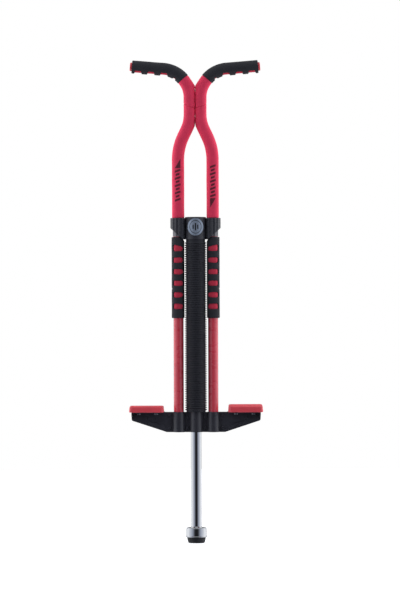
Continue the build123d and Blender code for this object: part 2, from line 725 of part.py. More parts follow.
with BuildPart() as rubber_tip:
    with BuildSketch(Plane.XZ):
        with BuildLine():
            Polyline(
                (0, 0),
                (TIP_D / 2 - TIP_EDGE_R, 0),
                (TIP_D / 2, TIP_EDGE_R),
                (TIP_TOP_D / 2, CUP_BOTTOM_Z),
                (CUP_D / 2 - CUP_WALL, CUP_BOTTOM_Z),
                (CUP_D / 2 - CUP_WALL, CUP_TOP_Z - CUP_ROOF),
                (0, CUP_TOP_Z - CUP_ROOF),
                close=True,
            )
        make_face()
    revolve(axis=Axis.Z)
    fillet(rubber_tip.edges().filter_by(GeomType.CIRCLE).group_by(Axis.Z)[1], 1.5)
save(rubber_tip, "rubber_tip")

# ======== Spring, seats and rebound bumper ========

with BuildPart() as lower_spring_seat:
    add(ring(SEAT_D, PLUNGER_BORE_D, LOWER_SEAT_Z, SPRING_BOTTOM_Z))
    add(ring(SEAT_SPIGOT_D, PLUNGER_BORE_D, SPRING_BOTTOM_Z, SPRING_BOTTOM_Z + SEAT_SPIGOT_L))
    chamfer(lower_spring_seat.faces().sort_by(Axis.Z)[-1].outer_wire().edges(), 0.5)
save(lower_spring_seat, "lower_spring_seat")

with BuildPart() as upper_spring_seat:
    with BuildSketch(Plane.XY.offset(SPRING_TOP_Z)):
        Circle(UPPER_SEAT_D / 2)
    extrude(amount=UPPER_SEAT_T)
    with BuildSketch(Plane.XY.offset(SPRING_TOP_Z)):
        Circle(SEAT_SPIGOT_D / 2)
    extrude(amount=-SEAT_SPIGOT_L)
    chamfer(upper_spring_seat.faces().sort_by(Axis.Z)[0].edges(), 0.5)
save(upper_spring_seat, "upper_spring_seat")

with BuildPart() as main_spring:
    with BuildLine(Plane.XY.offset(SPRING_BOTTOM_Z)) as coil_line:
        Helix(pitch=SPRING_L / SPRING_TURNS, height=SPRING_L, radius=SPRING_MEAN_D / 2)
    with BuildSketch(Plane(origin=coil_line.line @ 0, z_dir=coil_line.line % 0)):
        Circle(SPRING_WIRE_D / 2)
    sweep(path=coil_line.line, is_frenet=True)
    # The end coils are ground flat.
    split(bisect_by=Plane.XY.offset(SPRING_BOTTOM_Z), keep=Keep.TOP)
    split(bisect_by=Plane.XY.offset(SPRING_TOP_Z), keep=Keep.BOTTOM)
save(main_spring, "main_spring")

with BuildPart() as rebound_bumper:
    add(ring(
        BUMPER_D, BUMPER_BORE_D, BRACKET_TOP_Z, LOWER_SEAT_Z - STOP_PIN_D - BUMPER_GAP
    ))
    fillet(rebound_bumper.faces().sort_by(Axis.Z)[-1].edges(), 1.5)
save(rebound_bumper, "rebound_bumper")

with BuildPart() as spring_cover:
    # A smooth bore with a row of round-edged ribs outside, and a cuff that fits up into the collar.
    bore_d = COVER_VALLEY_D - 2 * COVER_WALL
    cover_l = COLLAR_BARREL_BOTTOM_Z - BRACKET_TOP_Z
    rib_w = COVER_D / 2 - RIB_T / 2 - bore_d / 2 - COVER_WALL / 2
    with BuildSketch(Plane.XZ):
        with Locations((bore_d / 2, BRACKET_TOP_Z)):
            Rectangle(COVER_WALL, cover_l, align=Align.MIN)
        with Locations((bore_d / 2, BRACKET_TOP_Z)):
            Rectangle(COLLAR_CAVITY_R - bore_d / 2, cover_l + COVER_CUFF_L, align=Align.MIN)
        with Locations((COVER_VALLEY_D / 2, BRACKET_TOP_Z)):
            Rectangle(COVER_WALL, cover_l, align=Align.MIN, mode=Mode.SUBTRACT)
        for index in range(COVER_RIBS):
            rib_z = BRACKET_TOP_Z + (index + 1) * RIB_PITCH
            with Locations((COVER_D / 2 - RIB_T / 2, rib_z)):
                Rectangle(rib_w, RIB_T, align=(Align.MAX, Align.CENTER))
                Circle(RIB_T / 2)
    revolve(axis=Axis.Z)
save(spring_cover, "spring_cover")
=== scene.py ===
"""Looks of the twin-tube pogo stick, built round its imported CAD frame.

Everything is in metres in the frame's own axes: +Z up the plunger, X along the handlebars, -Y the
front. Foam sleeves, grips, knee pads, foot pads and the main spring are new meshes that stand for
their plain CAD solids. The other parts keep their CAD meshes and get procedural finishes.
"""

import json
from math import atan2, ceil, cos, exp, log, pi, radians, sin, sqrt, tan

import bpy
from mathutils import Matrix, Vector, noise


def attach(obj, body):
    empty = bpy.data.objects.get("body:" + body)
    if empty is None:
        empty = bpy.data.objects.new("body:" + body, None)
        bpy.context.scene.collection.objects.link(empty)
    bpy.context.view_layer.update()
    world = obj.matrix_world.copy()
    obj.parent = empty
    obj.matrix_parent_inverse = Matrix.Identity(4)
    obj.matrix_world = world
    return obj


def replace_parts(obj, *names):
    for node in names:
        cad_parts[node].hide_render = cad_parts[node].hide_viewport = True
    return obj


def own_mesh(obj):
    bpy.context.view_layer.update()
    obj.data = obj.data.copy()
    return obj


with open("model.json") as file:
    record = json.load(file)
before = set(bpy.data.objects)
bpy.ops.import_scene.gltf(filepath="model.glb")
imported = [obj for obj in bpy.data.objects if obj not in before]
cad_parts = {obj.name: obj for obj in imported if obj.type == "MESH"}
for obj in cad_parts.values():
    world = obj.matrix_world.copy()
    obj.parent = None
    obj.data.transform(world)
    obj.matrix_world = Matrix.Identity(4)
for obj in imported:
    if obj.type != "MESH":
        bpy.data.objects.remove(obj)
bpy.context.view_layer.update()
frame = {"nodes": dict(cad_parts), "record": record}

# ---- Sizes shared with the frame, in metres ----
TUBE_R = 0.01065
SHAFT_X = 0.0364
NECK_X = 0.0111
TUBE_FOOT_Z = 0.2345
S_BEND_LOW_Z = 0.8341
S_BEND_LOW_R = 0.114
S_BEND_HIGH_Z = 0.8868
S_BEND_HIGH_R = 0.076
BAR_Z = 0.9943
BAR_BEND_R = 0.0597
BAR_RISE = radians(4.7)
BAR_END_X = 0.1314
BAR_END_Z = BAR_Z + (BAR_END_X - NECK_X) * tan(BAR_RISE)
COLLAR_TOP_Z = 0.685

FOAM_R = 0.0130
SEAM_Z = 0.922
GRIP_R = 0.0138
GRIP_LINER_R = 0.0112
GRIP_START_ANGLE = radians(40.5)
GRIP_OVERHANG = 0.0016
NOTCH_DEPTH = 0.009
NOTCHES = (  # distance in from the outer end, drop below the axis, tilt, roof and mouth width
    (0.0135, 0.0080, 0.0, 0.0120, 0.0190),
    (0.0408, 0.0080, 0.0, 0.0120, 0.0190),
    (0.0683, 0.0082, 0.0, 0.0120, 0.0190),
    (0.0913, 0.0166, radians(-29.1), 0.0036, 0.0140),
)

KNEE_LINER_R = 0.0118
KNEE_PAD_R = 0.0135
KNEE_PAD_SHIFT = 0.0007  # the pad is thicker on its outer side
KNEE_TOP_Z = 0.645
KNEE_BOTTOM_Z = 0.474
COLLAR_SLANT_X = 0.0222
COLLAR_SLANT_Z = 0.636
COLLAR_SLANT = 0.028 / (SHAFT_X + 0.0166 - COLLAR_SLANT_X)
KNEE_COLLAR_GAP = 0.0004
WINDOW_TOP_Z = 0.6206
WINDOW_PITCH = 0.0244
WINDOW_COUNT = 6
WINDOW_H = 0.0118

SPRING_LOW_Z = 0.304
SPRING_TOP_Z = 0.678
SPRING_R = 0.015
SPRING_WIRE_R = 0.00225
SPRING_TURNS = 30

BADGE_Z = 0.666


# ======== Node materials ========


class Finish:
    """One procedural material, wired up in the piece's own coordinates."""

    def __init__(self, name):
        self.material = bpy.data.materials.new(name)
        self.material.use_nodes = True
        self.tree = self.material.node_tree
        self.shader = self.tree.nodes["Principled BSDF"]
        self.place = self.tree.nodes.new("ShaderNodeTexCoord").outputs["Object"]

    def add(self, kind, **settings):
        """A new node with these properties set."""
        node = self.tree.nodes.new(kind)
        for key, value in settings.items():
            setattr(node, key, value)
        return node

    def feed(self, socket, value):
        """Links a socket, or sets it to a plain value."""
        if isinstance(value, bpy.types.NodeSocket):
            self.tree.links.new(value, socket)
        else:
            socket.default_value = value

    def set(self, **values):
        """Sets the shader's own sockets, with _ for each space in a name."""
        for key, value in values.items():
            self.feed(self.shader.inputs[key.replace("_", " ")], value)

    def stretched(self, x, y, z):
        """The piece's coordinates, scaled by a factor along each axis."""
        node = self.add("ShaderNodeMapping")
        self.feed(node.inputs["Vector"], self.place)
        node.inputs["Scale"].default_value = (x, y, z)
        return node.outputs["Vector"]

    def noise(self, scale, detail=3.0, roughness=0.55, at=None, distortion=0.0):
        node = self.add("ShaderNodeTexNoise")
        self.feed(node.inputs["Vector"], at or self.place)
        node.inputs["Scale"].default_value = scale
        node.inputs["Detail"].default_value = detail
        node.inputs["Roughness"].default_value = roughness
        node.inputs["Distortion"].default_value = distortion
        return node.outputs["Fac"]

    def cells(self, scale, feature="F1"):
        node = self.add("ShaderNodeTexVoronoi", feature=feature)
        self.feed(node.inputs["Vector"], self.place)
        node.inputs["Scale"].default_value = scale
        return node.outputs["Distance"]

    def ramp(self, factor, *stops):
        """A colour ramp; each stop is a place and a grey level or a colour."""
        node = self.add("ShaderNodeValToRGB")
        self.feed(node.inputs["Fac"], factor)
        elements = node.color_ramp.elements
        while len(elements) < len(stops):
            elements.new(0.5)
        for element, (place, value) in zip(elements, stops):
            element.position = place
            colour = (value,) * 3 if isinstance(value, (int, float)) else value
            element.color = (*colour, 1.0)
        return node.outputs["Color"]

    def calc(self, operation, a, b=0.0, clamp=False):
        node = self.add("ShaderNodeMath", operation=operation, use_clamp=clamp)
        self.feed(node.inputs[0], a)
        self.feed(node.inputs[1], b)
        return node.outputs[0]

    def mix(self, factor, a, b, blend="MIX"):
        node = self.add("ShaderNodeMix", data_type="RGBA", blend_type=blend)
        self.feed(node.inputs["Factor"], factor)
        for key, value in (("A", a), ("B", b)):
            socket = next(s for s in node.inputs if s.name == key and s.type == "RGBA")
            self.feed(socket, (*value, 1.0) if isinstance(value, tuple) else value)
        return next(s for s in node.outputs if s.type == "RGBA")

    def bump(self, height, distance, strength=1.0, under=None):
        node = self.add("ShaderNodeBump")
        self.feed(node.inputs["Height"], height)
        node.inputs["Distance"].default_value = distance
        node.inputs["Strength"].default_value = strength
        if under:
            self.feed(node.inputs["Normal"], under)
        return node.outputs["Normal"]

    def axes(self):
        """The three coordinates, each as a socket."""
        node = self.add("ShaderNodeSeparateXYZ")
        self.feed(node.inputs[0], self.place)
        return node.outputs[0], node.outputs[1], node.outputs[2]

    def between(self, value, low, high):
        """1 where value is between two limits, 0 elsewhere."""
        above = self.calc("GREATER_THAN", value, low)
        return self.calc("MULTIPLY", above, self.calc("LESS_THAN", value, high))


def shade(colour, factor):
    return tuple(min(1.0, c * factor) for c in colour)


def foam_finish(name, colour, sheen=0.25, print_box=None):
    """Closed-cell foam: fine pores, faint mottling, a soft sheen, and a printed band if asked for."""
    f = Finish(name)
    mottle = f.ramp(f.noise(55, 4), (0.3, shade(colour, 0.86)), (0.7, shade(colour, 1.08)))
    pores = f.cells(1100)
    speck = f.ramp(pores, (0.0, shade(colour, 0.72)), (0.35, shade(colour, 1.0)))
    surface = f.mix(0.35, mottle, speck)
    scuff = f.ramp(f.noise(160, 5, 0.7), (0.62, 0.0), (0.80, 0.35))
    surface = f.mix(scuff, surface, shade(colour, 1.35))
    if print_box:
        surface = f.mix(printed_bars(f, *print_box), surface, (0.030, 0.011, 0.016))
    fine = f.bump(pores, 0.00009, 0.55)
    f.set(
        Base_Color=surface,
        Roughness=f.ramp(f.noise(240, 3), (0.3, 0.72), (0.7, 0.90)),
        Normal=f.bump(f.noise(620, 4, 0.65), 0.00010, 0.5, fine),
        Sheen_Weight=sheen,
        Sheen_Roughness=0.45,
        Sheen_Tint=(*shade(colour, 1.25), 1.0),
        Specular_IOR_Level=0.30,
    )
    return f.material


def printed_bars(f, centre_x, start_z, end_z, half_w):
    """A wedge and a row of slanted bars, printed on the front from start_z to end_z."""
    x, y, z = f.axes()
    facing = f.calc("LESS_THAN", y, 0.0)
    along = f.calc("DIVIDE", f.calc("SUBTRACT", z, start_z), end_z - start_z)
    flip = 1.0 if end_z < start_z else -1.0
    across = f.calc("MULTIPLY", f.calc("SUBTRACT", x, centre_x), flip / (2 * half_w))
    # The wedge widens from a point, with its straight side along one edge.
    slope = f.calc("SUBTRACT", 0.5, f.calc("MULTIPLY", along, 1 / 0.22))
    wedge = f.calc("MULTIPLY", f.calc("GREATER_THAN", across, slope), f.between(along, 0, 0.22))
    wedge = f.calc("MULTIPLY", wedge, f.calc("LESS_THAN", across, 0.5))
    # The bars take turns between full width and two thirds of it.
    skewed = f.calc("ADD", along, f.calc("MULTIPLY", across, 0.045))
    count = f.calc("DIVIDE", f.calc("SUBTRACT", skewed, 0.255), 0.083)
    bar = f.calc("LESS_THAN", f.calc("FRACT", count), 0.56)
    odd = f.calc("MODULO", f.calc("FLOOR", count), 2.0)
    reach = f.calc("SUBTRACT", 0.5, f.calc("MULTIPLY", odd, 0.16))
    bar = f.calc("MULTIPLY", bar, f.calc("LESS_THAN", f.calc("ABSOLUTE", across), reach))
    bar = f.calc("MULTIPLY", bar, f.between(skewed, 0.255, 1.0))
    ink = f.calc("MULTIPLY", f.calc("MAXIMUM", wedge, bar), facing)
    worn = f.calc("GREATER_THAN", f.noise(900, 4, 0.7), 0.36)
    return f.calc("MULTIPLY", f.calc("MULTIPLY", ink, worn), 0.88)


def paint_finish(name, colour):
    """Gloss paint under a clear coat, with a faint orange peel."""
    f = Finish(name)
    tone = f.ramp(f.noise(30, 3), (0.3, shade(colour, 0.93)), (0.7, shade(colour, 1.05)))
    dust = f.ramp(f.noise(1500, 2, 0.7), (0.66, 0.0), (0.78, 0.22))
    peel = f.bump(f.noise(420, 2, 0.4), 0.00006, 0.35)
    f.set(
        Base_Color=f.mix(dust, tone, shade(colour, 1.35)),
        Roughness=f.ramp(f.noise(90, 4), (0.3, 0.24), (0.7, 0.34)),
        Normal=peel,
        Coat_Weight=1.0,
        Coat_Roughness=0.07,
        Coat_Normal=peel,
        Specular_IOR_Level=0.55,
    )
    return f.material


def mould(f, colour, roughness, spec=0.5):
    """Gives a finish the look of moulded plastic, and returns its colour and normal sockets."""
    tone = f.ramp(
        f.noise(26, 3, at=f.stretched(1, 1, 0.35)),
        (0.3, shade(colour, 0.92)), (0.7, shade(colour, 1.07)),
    )
    rub = f.ramp(f.noise(300, 5, 0.75), (0.64, 0.0), (0.82, 0.30))
    surface = f.mix(rub, tone, shade(colour, 1.5))
    ripple = f.bump(f.noise(120, 2), 0.0001, 0.25)
    normal = f.bump(f.noise(800, 3, 0.6), 0.00006, 0.5, ripple)
    f.set(
        Base_Color=surface,
        Roughness=f.ramp(f.noise(140, 4), (0.3, roughness - 0.05), (0.7, roughness + 0.08)),
        Normal=normal,
        Specular_IOR_Level=spec,
    )
    return surface, normal


def plastic_finish(name, colour, roughness, spec=0.5):
    """Moulded plastic with a fine grain, faint flow marks and light rubbing."""
    f = Finish(name)
    mould(f, colour, roughness, spec)
    return f.material


FLUTE_PITCH = 0.0066
FLUTE_START_X = 0.0235  # the side barrels start here, clear of the centre barrel
FLUTE_END_X = 0.0530


def collar_finish(name, colour):
    """The collar's plastic: fluted side barrels with painted highlights on the flute crests and
    painted shade in the grooves, and a paler grey painted on the stub under each slanted edge as a
    painted highlight.
    """
    f = Finish(name)
    surface, grain = mould(f, colour, 0.28)
    x, y, z = f.axes()
    out = f.calc("ABSOLUTE", x)
    wave = f.calc("SINE", f.calc("MULTIPLY", out, 2 * pi / FLUTE_PITCH))
    flutes = f.calc("MULTIPLY", f.between(out, FLUTE_START_X, FLUTE_END_X), wave)
    height = f.calc("SUBTRACT", z, f.calc("MULTIPLY", out, COLLAR_SLANT))
    edge_height = COLLAR_SLANT_Z - COLLAR_SLANT * COLLAR_SLANT_X - 0.0004
    under = f.calc("LESS_THAN", height, edge_height)
    # Painted highlight: below the slanted edge, the side barrels are painted a paler grey.
    stub = f.calc("MULTIPLY", under, f.calc("GREATER_THAN", out, FLUTE_START_X))
    # Painted light: the flute crests are painted lighter as highlights and the grooves darker as
    # painted shade.
    painted_flute_light = f.calc("ADD", f.calc("MULTIPLY", flutes, 0.5), 0.5)
    base = f.mix(painted_flute_light, shade(colour, 0.55), shade(colour, 1.7))
    base = f.mix(0.5, base, surface)
    f.set(
        Base_Color=f.mix(stub, base, (0.17, 0.165, 0.17)),
        Normal=f.bump(f.calc("MULTIPLY", flutes, 0.5), 0.0012, 0.8, grain),
    )
    return f.material


def powder_coat_finish(name, colour):
    """Satin black powder coat on pressed steel, rubbed paler in places."""
    f = Finish(name)
    tone = f.ramp(f.noise(40, 4), (0.3, shade(colour, 0.85)), (0.7, shade(colour, 1.15)))
    rub = f.ramp(f.noise(210, 6, 0.78), (0.66, 0.0), (0.84, 0.4))
    peel = f.bump(f.noise(560, 3, 0.55), 0.00010, 0.35)
    f.set(
        Base_Color=f.mix(rub, tone, shade(colour, 2.2)),
        Roughness=f.ramp(f.noise(130, 4), (0.3, 0.26), (0.7, 0.38)),
        Normal=peel,
        Coat_Weight=0.35,
        Coat_Roughness=0.22,
        Specular_IOR_Level=0.55,
    )
    return f.material


def metal_finish(name, colour, roughness, scratches=0.10, grain=(1, 1, 1), dirt=0.0):
    """Bare or plated metal with fine scratches along its length."""
    f = Finish(name)
    lines = f.noise(900, 4, 0.7, at=f.stretched(*grain))
    rough = f.calc("ADD", f.calc("MULTIPLY", lines, scratches), roughness - scratches * 0.4)
    tone = f.ramp(f.noise(60, 4), (0.3, shade(colour, 0.95)), (0.7, shade(colour, 1.0)))
    stain = f.ramp(f.noise(170, 6, 0.75), (0.58, 0.0), (0.82, dirt))
    f.set(
        Base_Color=f.mix(stain, tone, shade(colour, 0.35)),
        Metallic=1.0,
        Roughness=f.calc("MAXIMUM", rough, 0.03),
        Normal=f.bump(lines, 0.00001, 0.25),
    )
    return f.material


def rubber_finish(name, colour):
    """Matt rubber with a fine grain and grey dust."""
    f = Finish(name)
    tone = f.ramp(f.noise(70, 4), (0.3, shade(colour, 0.8)), (0.7, shade(colour, 1.2)))
    dust = f.ramp(f.noise(420, 6, 0.8), (0.56, 0.0), (0.80, 0.55))
    f.set(
        Base_Color=f.mix(dust, tone, (0.11, 0.11, 0.115)),
        Roughness=f.ramp(f.noise(260, 3), (0.3, 0.58), (0.7, 0.78)),
        Normal=f.bump(f.noise(900, 4, 0.6), 0.00012, 0.5),
        Specular_IOR_Level=0.4,
    )
    return f.material


def badge_finish(name):
    """A satin metal disc with a printed ring and three upright bars."""
    f = Finish(name)
    x, y, z = f.axes()
    fine = f.noise(2600, 3, 0.6)
    face = f.ramp(fine, (0.3, (0.30, 0.36, 0.44)), (0.7, (0.46, 0.53, 0.62)))
    up = f.calc("DIVIDE", f.calc("SUBTRACT", z, BADGE_Z), 0.01835)
    over = f.calc("DIVIDE", x, 0.0165)
    out = f.calc("SQRT", f.calc("ADD", f.calc("POWER", up, 2.0), f.calc("POWER", over, 2.0)))
    rim = f.between(out, 0.70, 0.77)
    bars = None
    for centre, half in ((-0.30, 0.24), (0.0, 0.42), (0.30, 0.24)):
        wide = f.between(over, centre - 0.085, centre + 0.085)
        tall = f.between(up, -half, half)
        bar = f.calc("MULTIPLY", wide, tall)
        bars = bar if bars is None else f.calc("MAXIMUM", bars, bar)
    ink = f.calc("MAXIMUM", rim, bars)
    f.set(
        Base_Color=f.mix(ink, face, (0.016, 0.017, 0.020)),
        Metallic=f.calc("SUBTRACT", 0.55, f.calc("MULTIPLY", ink, 0.55)),
        Roughness=f.ramp(f.noise(500, 3), (0.3, 0.34), (0.7, 0.46)),
        Normal=f.bump(fine, 0.00002, 0.4, f.bump(ink, 0.00008, 0.6)),
    )
    return f.material


RED_FOAM = (0.80, 0.040, 0.100)
BLACK_FOAM = (0.030, 0.030, 0.034)

finishes = {
    "painted_tube": paint_finish("painted_tube", (0.72, 0.060, 0.085)),
    "weld": powder_coat_finish("weld", (0.30, 0.03, 0.04)),
    "red_plastic": plastic_finish("red_plastic", (0.80, 0.075, 0.095), 0.36),
    "red_foam": foam_finish("red_foam", RED_FOAM),
    "left_print": foam_finish(
        "left_printed_foam", RED_FOAM, print_box=(-0.0372, 0.810, 0.718, 0.006)
    ),
    "right_print": foam_finish(
        "right_printed_foam", RED_FOAM, print_box=(0.0368, 0.706, 0.799, 0.006)
    ),
    "liner_foam": foam_finish("liner_foam", (0.55, 0.030, 0.060), 0.15),
    "black_foam": foam_finish("black_foam", BLACK_FOAM, 0.12),
    "black_plastic": plastic_finish("black_plastic", (0.036, 0.036, 0.042), 0.30),
    "badge_metal": badge_finish("badge_metal"),
    "collar_plastic": collar_finish("collar_plastic", (0.040, 0.040, 0.046)),
    "cover_plastic": plastic_finish("cover_plastic", (0.032, 0.032, 0.038), 0.50, spec=0.25),
    "black_steel": powder_coat_finish("black_steel", (0.042, 0.041, 0.049)),
    "screws": metal_finish("screws", (0.30, 0.30, 0.32), 0.32, 0.16, dirt=0.4),
    "nylon": plastic_finish("nylon", (0.62, 0.60, 0.54), 0.42),
    "steel": metal_finish("steel", (0.52, 0.53, 0.55), 0.28, 0.18, dirt=0.5),
    "chrome": metal_finish("chrome", (0.79, 0.81, 0.84), 0.05, 0.05, grain=(1, 1, 0.06), dirt=0.10),
    "rubber": rubber_finish("rubber", (0.020, 0.020, 0.022)),
}

slot_of_node = {row["node"]: row["material_slot"] for row in frame["record"]["subparts"]}


# ======== Mesh helpers ========


def make_piece(name, points, faces, *materials, face_materials=None, sharp=40):
    """A smooth-shaded mesh object, with edges sharper than so many degrees kept crisp."""
    mesh = bpy.data.meshes.new(name)
    mesh.from_pydata(points, [], faces)
    mesh.validate()
    for material in materials:
        mesh.materials.append(finishes[material])
    if face_materials:
        mesh.polygons.foreach_set("material_index", face_materials)
    mesh.polygons.foreach_set("use_smooth", [True] * len(mesh.polygons))
    mesh.set_sharp_from_angle(angle=radians(sharp))
    piece = bpy.data.objects.new(name, mesh)
    bpy.context.scene.collection.objects.link(piece)
    return piece


def closed_skin(rings, mirrored):
    """Points and faces of a ring-shaped skin: rings joined in turn, the last back to the first."""
    count, around = len(rings), len(rings[0])
    points = [p for ring in rings for p in ring]
    faces = []
    for i in range(count):
        a, b = i * around, ((i + 1) % count) * around
        for k in range(around):
            n = (k + 1) % around
            face = (a + k, b + k, b + n, a + n)
            faces.append(face[::-1] if mirrored else face)
    return points, faces


def tube_line():
    """The right tube's centreline, as straight and bent legs with their lengths."""
    corners = [
        (SHAFT_X, TUBE_FOOT_Z), (SHAFT_X, S_BEND_LOW_Z), (NECK_X, S_BEND_HIGH_Z),
        (NECK_X, BAR_Z), (BAR_END_X, BAR_END_Z),
    ]
    radii = (S_BEND_LOW_R, S_BEND_HIGH_R, BAR_BEND_R)
    legs, here = [], Vector(corners[0])
    for i, radius in enumerate(radii, start=1):
        before = (Vector(corners[i]) - Vector(corners[i - 1])).normalized()
        after = (Vector(corners[i + 1]) - Vector(corners[i])).normalized()
        turn = atan2(before.x * after.y - before.y * after.x, before.dot(after))
        setback = radius * tan(abs(turn) / 2)
        start = Vector(corners[i]) - before * setback
        legs.append(("line", here.copy(), before.copy(), (start - here).length, 0.0))
        legs.append(("arc", start.copy(), before.copy(), radius * abs(turn), turn))
        here = Vector(corners[i]) + after * setback
    legs.append(("line", here.copy(), after.copy(), (Vector(corners[-1]) - here).length, 0.0))
    return legs


TUBE_LINE = tube_line()
TUBE_LENGTH = sum(leg[3] for leg in TUBE_LINE)
BAR_BEND_AT = sum(leg[3] for leg in TUBE_LINE[:5])


def on_tube(s):
    """The centreline's point and unit direction, in the XZ plane, s along from the foot."""
    for kind, start, direction, length, turn in TUBE_LINE:
        if s <= length or (kind, start) == (TUBE_LINE[-1][0], TUBE_LINE[-1][1]):
            if kind == "line":
                return start + direction * s, direction
            radius = length / abs(turn)
            angle = turn * s / length
            side = Vector((-direction.y, direction.x)) * (1 if turn > 0 else -1)
            point = start + direction * radius * sin(abs(angle)) + side * radius * (1 - cos(angle))
            heading = Vector((
                direction.x * cos(angle) - direction.y * sin(angle),
                direction.x * sin(angle) + direction.y * cos(angle),
            ))
            return point, heading
        s -= length


def find_height(z):
    """How far along the tube's first four legs its centreline reaches a height."""
    low, high = 0.0, BAR_BEND_AT
    for _ in range(40):
        middle = (low + high) / 2
        if on_tube(middle)[0].y < z:
            low = middle
        else:
            high = middle
    return low


def ring_at(s, side, radius_at, around):
    """A ring of points about the tube at s. Angle 0 is the front and 90 degrees the outer side."""
    centre, heading = on_tube(s)
    ring = []
    for k in range(around):
        angle = 2 * pi * k / around
        r = radius_at(s, angle)
        out = r * sin(angle)
        x = centre.x + heading.y * out
        z = centre.y - heading.x * out
        ring.append(Vector((side * x, -r * cos(angle), z)))
    return ring


def spread(start, end, step):
    """Evenly spaced values from start to end."""
    count = max(1, ceil((end - start) / step))
    return [start + (end - start) * i / count for i in range(count + 1)]


def with_rounded_ends(stations, edge):
    """Stations with extra ones close to each end, for a rounded edge there."""
    start, end = stations[0], stations[-1]
    near = [edge * share for share in (0.08, 0.25, 0.5, 1.0)]
    middle = [s for s in stations if start + edge < s < end - edge]
    return [start] + [start + d for d in near] + middle + [end - d for d in near[::-1]] + [end]


def end_rounding(s, start, end, edge):
    """How much an end's rounded edge takes off the radius at s."""
    near = min(s - start, end - s)
    if near >= edge:
        return 0.0
    return edge * (1 - sqrt(max(0.0, 1 - (1 - near / edge) ** 2)))


def lumps(point, size, height):
    """Smooth unevenness of about this height, over about this size."""
    return height * noise.noise(point / size)


# ======== Foam sleeves ========

AROUND = 96
SEAM_RISE = 0.0090
SEAM_REACH = 0.020
PRESS_SOFTNESS = 0.0006
PRESS_GAP = 0.00016
FLAPS = ((0.0020, 0.9570, 0.0080), (0.0012, 0.8860, 0.0070))  # depth, height, half length


def press_line(y, z):
    """Where the two sleeves meet at the neck, wandering to either side of the middle."""
    wander = lumps(Vector((0, y, z)), 0.009, 0.0016) + lumps(Vector((3, y, z)), 0.0035, 0.0006)
    return wander


def pressed(point, side):
    """A sleeve's point, pushed back from its neighbour with a soft corner."""
    clearance = side * (point.x - press_line(point.y, point.z)) - PRESS_GAP
    if clearance > 6 * PRESS_SOFTNESS:
        return point
    eased = PRESS_SOFTNESS * log(1 + exp(clearance / PRESS_SOFTNESS))
    return Vector((point.x + side * (eased - clearance), point.y, point.z))


def follow_seam(point):
    """Bends the rings near the seam so that it rises towards the outer side."""
    away = abs(point.z - SEAM_Z) / SEAM_REACH
    if away >= 1:
        return point
    rise = SEAM_RISE * (min(1.0, abs(point.x) / 0.0232) ** 2.2) - 0.0045
    ease = (1 - away) ** 2 * (1 + 2 * away)
    return Vector((point.x, point.y, point.z + rise * ease))


def sleeve(name, side, start, end, radius, edge, step, material):
    """A foam sleeve round the tube between two places along it."""
    def radius_at(s, angle):
        centre, _ = on_tube(s)
        spot = Vector((centre.x + 0.02 * sin(angle), 0.02 * cos(angle), centre.y))
        if side < 0:
            spot.y += 5.0
        soft = lumps(spot, 0.030, 0.00022) + lumps(spot, 0.008, 0.00010)
        # Flaps of loose foam fill the V above and below the neck.
        flap = sum(depth * exp(-(((centre.y - z) / half) ** 2)) for depth, z, half in FLAPS)
        flap *= max(0.0, -sin(angle)) ** 6 * (1 + 6 * lumps(spot, 0.004, 0.1))
        return radius + soft + flap - end_rounding(s, start, end, edge)

    stations = with_rounded_ends(spread(start, end, step), edge)
    outer = [ring_at(s, side, radius_at, AROUND) for s in stations]
    inner = [
        ring_at(s, side, lambda s, angle: TUBE_R + 0.0001, AROUND)
        for s in reversed(spread(start, end, 0.006))
    ]
    outer = [[pressed(follow_seam(p), side) for p in ring] for ring in outer]
    inner = [[follow_seam(p) for p in ring] for ring in inner]
    points, faces = closed_skin(outer + inner, side > 0)
    piece = make_piece(name, points, faces, material)
    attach(piece, "frame")
    return piece


seam_at = find_height(SEAM_Z)
collar_at = find_height(COLLAR_TOP_Z)
grip_start = BAR_BEND_AT + GRIP_START_ANGLE * BAR_BEND_R
for hand, side in (("left", -1), ("right", 1)):
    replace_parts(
        sleeve(
            f"{hand}_shaft_sleeve", side, collar_at, seam_at - 0.0001,
            FOAM_R, 0.0014, 0.0016, f"{hand}_print",
        ),
        f"{hand}_shaft_foam",
    )
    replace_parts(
        sleeve(
            f"{hand}_neck_sleeve", side, seam_at + 0.0001, grip_start,
            FOAM_R + 0.0001, 0.0014, 0.0016, "red_foam",
        ),
        f"{hand}_neck_foam",
    )


# ======== Grips ========

GRIP_AROUND = 120
GRIP_EDGE = 0.0009
GRIP_END = TUBE_LENGTH + GRIP_OVERHANG
BAR_DIRECTION = Vector((cos(BAR_RISE), sin(BAR_RISE)))
GRIP_END_POINT = Vector((BAR_END_X, BAR_END_Z)) + BAR_DIRECTION * GRIP_OVERHANG


def in_notch(x, z):
    """Whether a place beside the right handlebar is inside one of the finger notches."""
    offset = Vector((x, z)) - GRIP_END_POINT
    inward = -offset.dot(BAR_DIRECTION)
    up = offset.dot(Vector((-BAR_DIRECTION.y, BAR_DIRECTION.x)))
    for along, drop, tilt, roof_w, mouth_w in NOTCHES:
        da, du = inward - along, up + drop
        p = da * cos(tilt) + du * sin(tilt)
        q = du * cos(tilt) - da * sin(tilt)
        reach = (roof_w - (mouth_w - roof_w) * q / NOTCH_DEPTH) / 2
        if -1.5 * NOTCH_DEPTH < q < 0 and abs(p) < reach:
            return True
    return False


def notch_radius(s, angle, full, least):
    """The grip's radius at s and angle once the notches are cut."""
    if sin(angle) < 0.2:
        return full
    centre, heading = on_tube(s)

    def cut(r):
        out = r * sin(angle)
        return in_notch(centre.x + heading.y * out, centre.y - heading.x * out)

    if not cut(full):
        return full
    if cut(least):
        return least
    low, high = least, full
    for _ in range(14):
        middle = (low + high) / 2
        if cut(middle):
            high = middle
        else:
            low = middle
    return low


